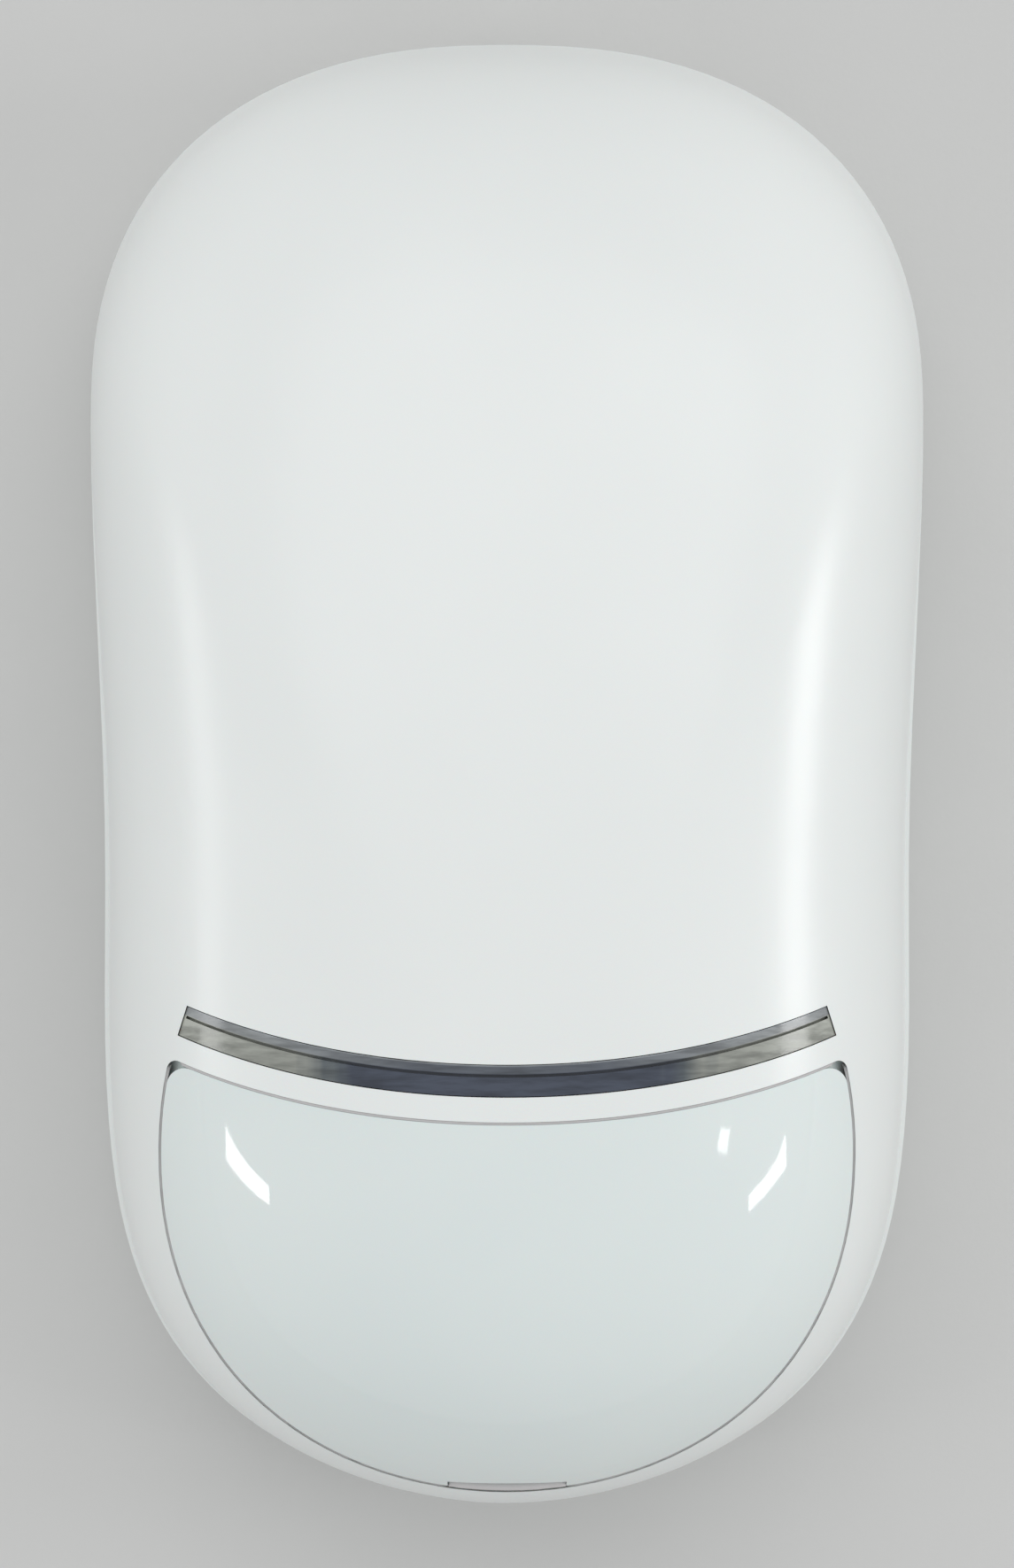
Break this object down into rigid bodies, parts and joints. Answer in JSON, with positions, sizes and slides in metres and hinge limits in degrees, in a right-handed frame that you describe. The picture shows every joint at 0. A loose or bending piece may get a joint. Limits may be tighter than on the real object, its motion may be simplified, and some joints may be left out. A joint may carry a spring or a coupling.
{
  "type": "motion sensor",
  "caption": "Wall-mounted intruder motion sensor: a domed case with a glossy lens and a tinted light strip, a cover that swings open, and its boards, battery and optics.",
  "frame": {"origin": "centre of the flat back that goes against the wall", "axes": "+X right, +Y towards the top of the case as mounted, +Z out of the wall"},
  "size_m": [0.078, 0.1365, 0.0492],
  "materials": {
    "cover_plastic": "satin moulded white",
    "lens_plastic": "glossy, slightly milky white",
    "smoked_plastic": "glossy smoke tint",
    "black_plastic": "matt black moulding",
    "circuit_board": "green solder mask",
    "radar_board": "pale radio laminate",
    "zinc_steel": "zinc plated",
    "battery_sleeve": "printed-free shrink sleeve",
    "nickel": "nickel plated",
    "white_nylon": "natural nylon",
    "tinned_steel": "tinned sheet",
    "copper": "bare copper",
    "gold_pins": "gold flash",
    "light_lens": "clear epoxy",
    "dark_filter": "dark silicon window",
    "black_foam": "closed-cell foam",
    "mirror_finish": "metallised",
    "spring_steel": "bright wire",
    "blue_plastic": "blue moulding",
    "can_aluminium": "drawn can",
    "chip_plastic": "moulded epoxy"
  },
  "bodies": {
    "base": {"back_housing": "cover_plastic", "main_board": "circuit_board", "board_screws": "zinc_steel", "battery": "battery_sleeve", "battery_holder": "black_plastic", "battery_contact_positive": "nickel", "battery_contact_negative": "nickel", "battery_spring": "nickel", "microwave_board": "radar_board", "microwave_pillars": "white_nylon", "microwave_shield_can": "tinned_steel", "microwave_patches": "copper", "header_pins": "gold_pins", "sensor_board": "circuit_board", "status_lights": "light_lens", "mask_emitters": "light_lens", "pyro_can": "tinned_steel", "pyro_filter": "dark_filter", "pyro_leads": "gold_pins", "sensor_gasket": "black_foam", "optics_housing": "black_plastic", "mirror": "mirror_finish", "tamper_switch_body": "black_plastic", "tamper_spring": "spring_steel", "enrol_switch_body": "black_plastic", "range_trimmer_body": "blue_plastic", "radio_shield_can": "tinned_steel", "radio_antenna": "copper", "capacitors": "can_aluminium", "chips": "chip_plastic"},
    "cover": {"front_cover": "cover_plastic", "lens_window": "lens_plastic", "lens_retainer": "black_plastic", "light_strip": "smoked_plastic"},
    "screw_ring": {"screw_ring": "white_nylon"},
    "cover_screw": {"cover_screw": "zinc_steel"},
    "tamper_plunger": {"tamper_plunger": "white_nylon"},
    "enrol_button": {"enrol_button": "white_nylon"},
    "range_trimmer_rotor": {"range_trimmer_rotor": "white_nylon"}
  },
  "joints": [
    {"name": "cover_swing", "type": "hinge", "parent": "base", "child": "cover", "pos_m": [0, 0.06825, 0.013], "axis": [-1, 0, 0], "range_deg": [0, 30]},
    {"name": "screw_withdraw", "type": "slide", "parent": "base", "child": "screw_ring", "axis": [0, -1, 0], "range_m": [0, 0.0025]},
    {"name": "screw_turn", "type": "hinge", "parent": "screw_ring", "child": "cover_screw", "pos_m": [0, -0.065, 0.019], "axis": [0, -1, 0], "range_deg": [0, 820]},
    {"name": "tamper_press", "type": "slide", "parent": "base", "child": "tamper_plunger", "axis": [0, 0, 1], "range_m": [0, 0.0015], "deforming": ["tamper_spring"]},
    {"name": "enrol_press", "type": "slide", "parent": "base", "child": "enrol_button", "axis": [0, 0, 1], "range_m": [-0.00025, 0], "stiffness_N_per_m": 400, "springref_m": 0.001},
    {"name": "range_adjust", "type": "hinge", "parent": "base", "child": "range_trimmer_rotor", "pos_m": [0.023, -0.008, 0.013], "axis": [0, 0, 1], "range_deg": [-135, 135]}
  ],
  "couplings": [
    {"joint": "screw_turn", "follows": "screw_withdraw", "rad_per_m": 5712},
    {"joint": "tamper_press", "follows": "cover_swing", "m_per_rad": 0.00286}
  ]
}
